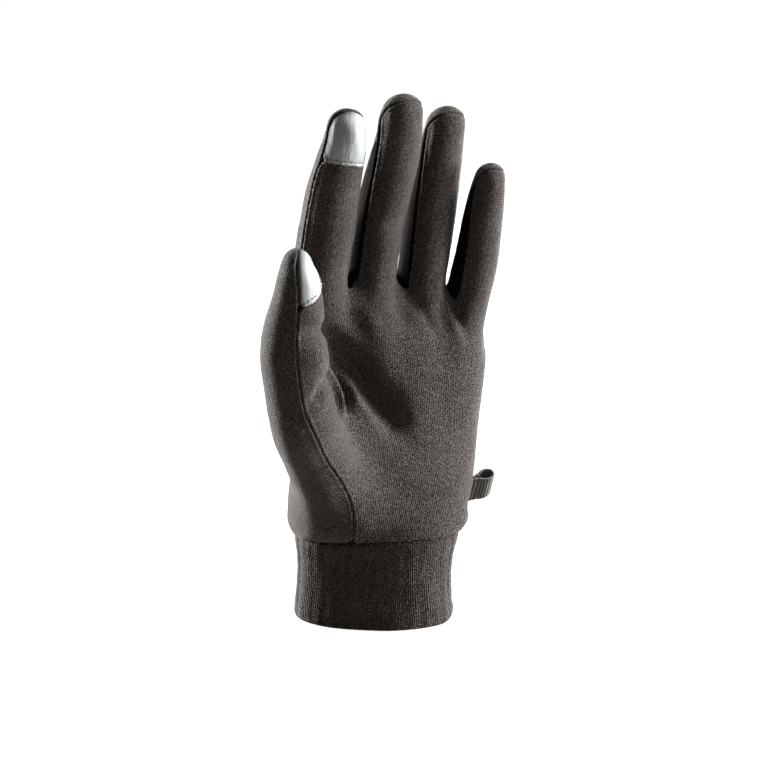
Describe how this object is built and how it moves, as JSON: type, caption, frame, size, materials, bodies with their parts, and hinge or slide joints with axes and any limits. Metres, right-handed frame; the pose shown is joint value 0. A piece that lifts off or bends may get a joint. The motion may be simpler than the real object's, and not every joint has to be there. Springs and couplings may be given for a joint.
{
  "type": "stretch glove",
  "caption": "Close-fitting knit glove for the left hand in its worn form, with silver touch pads on index and thumb, a ribbed cuff and a webbing hang loop at the side",
  "frame": {"origin": "centre of the cuff's open end, where the wrist goes in", "axes": "+Z along the hand from the hem to the fingertips, -Y out of the palm, -X towards the thumb, +X towards the little finger"},
  "size_m": [0.1249, 0.0811, 0.2371],
  "materials": {
    "knit": "fine warm-charcoal interlock knit with a soft brushed face",
    "touch_pad": "smooth silver-grey conductive cloth, slightly glossy",
    "cuff": "the same knit doubled, with fine upright ribs",
    "webbing": "dark grosgrain webbing with cross ribs"
  },
  "bodies": {
    "root": {"palm_panel": "knit", "back_panel": "knit", "fourchette_index_middle": "knit", "fourchette_middle_ring": "knit", "fourchette_ring_little": "knit", "index_touch_pad": "touch_pad", "thumb_touch_pad": "touch_pad", "cuff_band": "cuff", "webbing_loop": "webbing"}
  },
  "joints": []
}
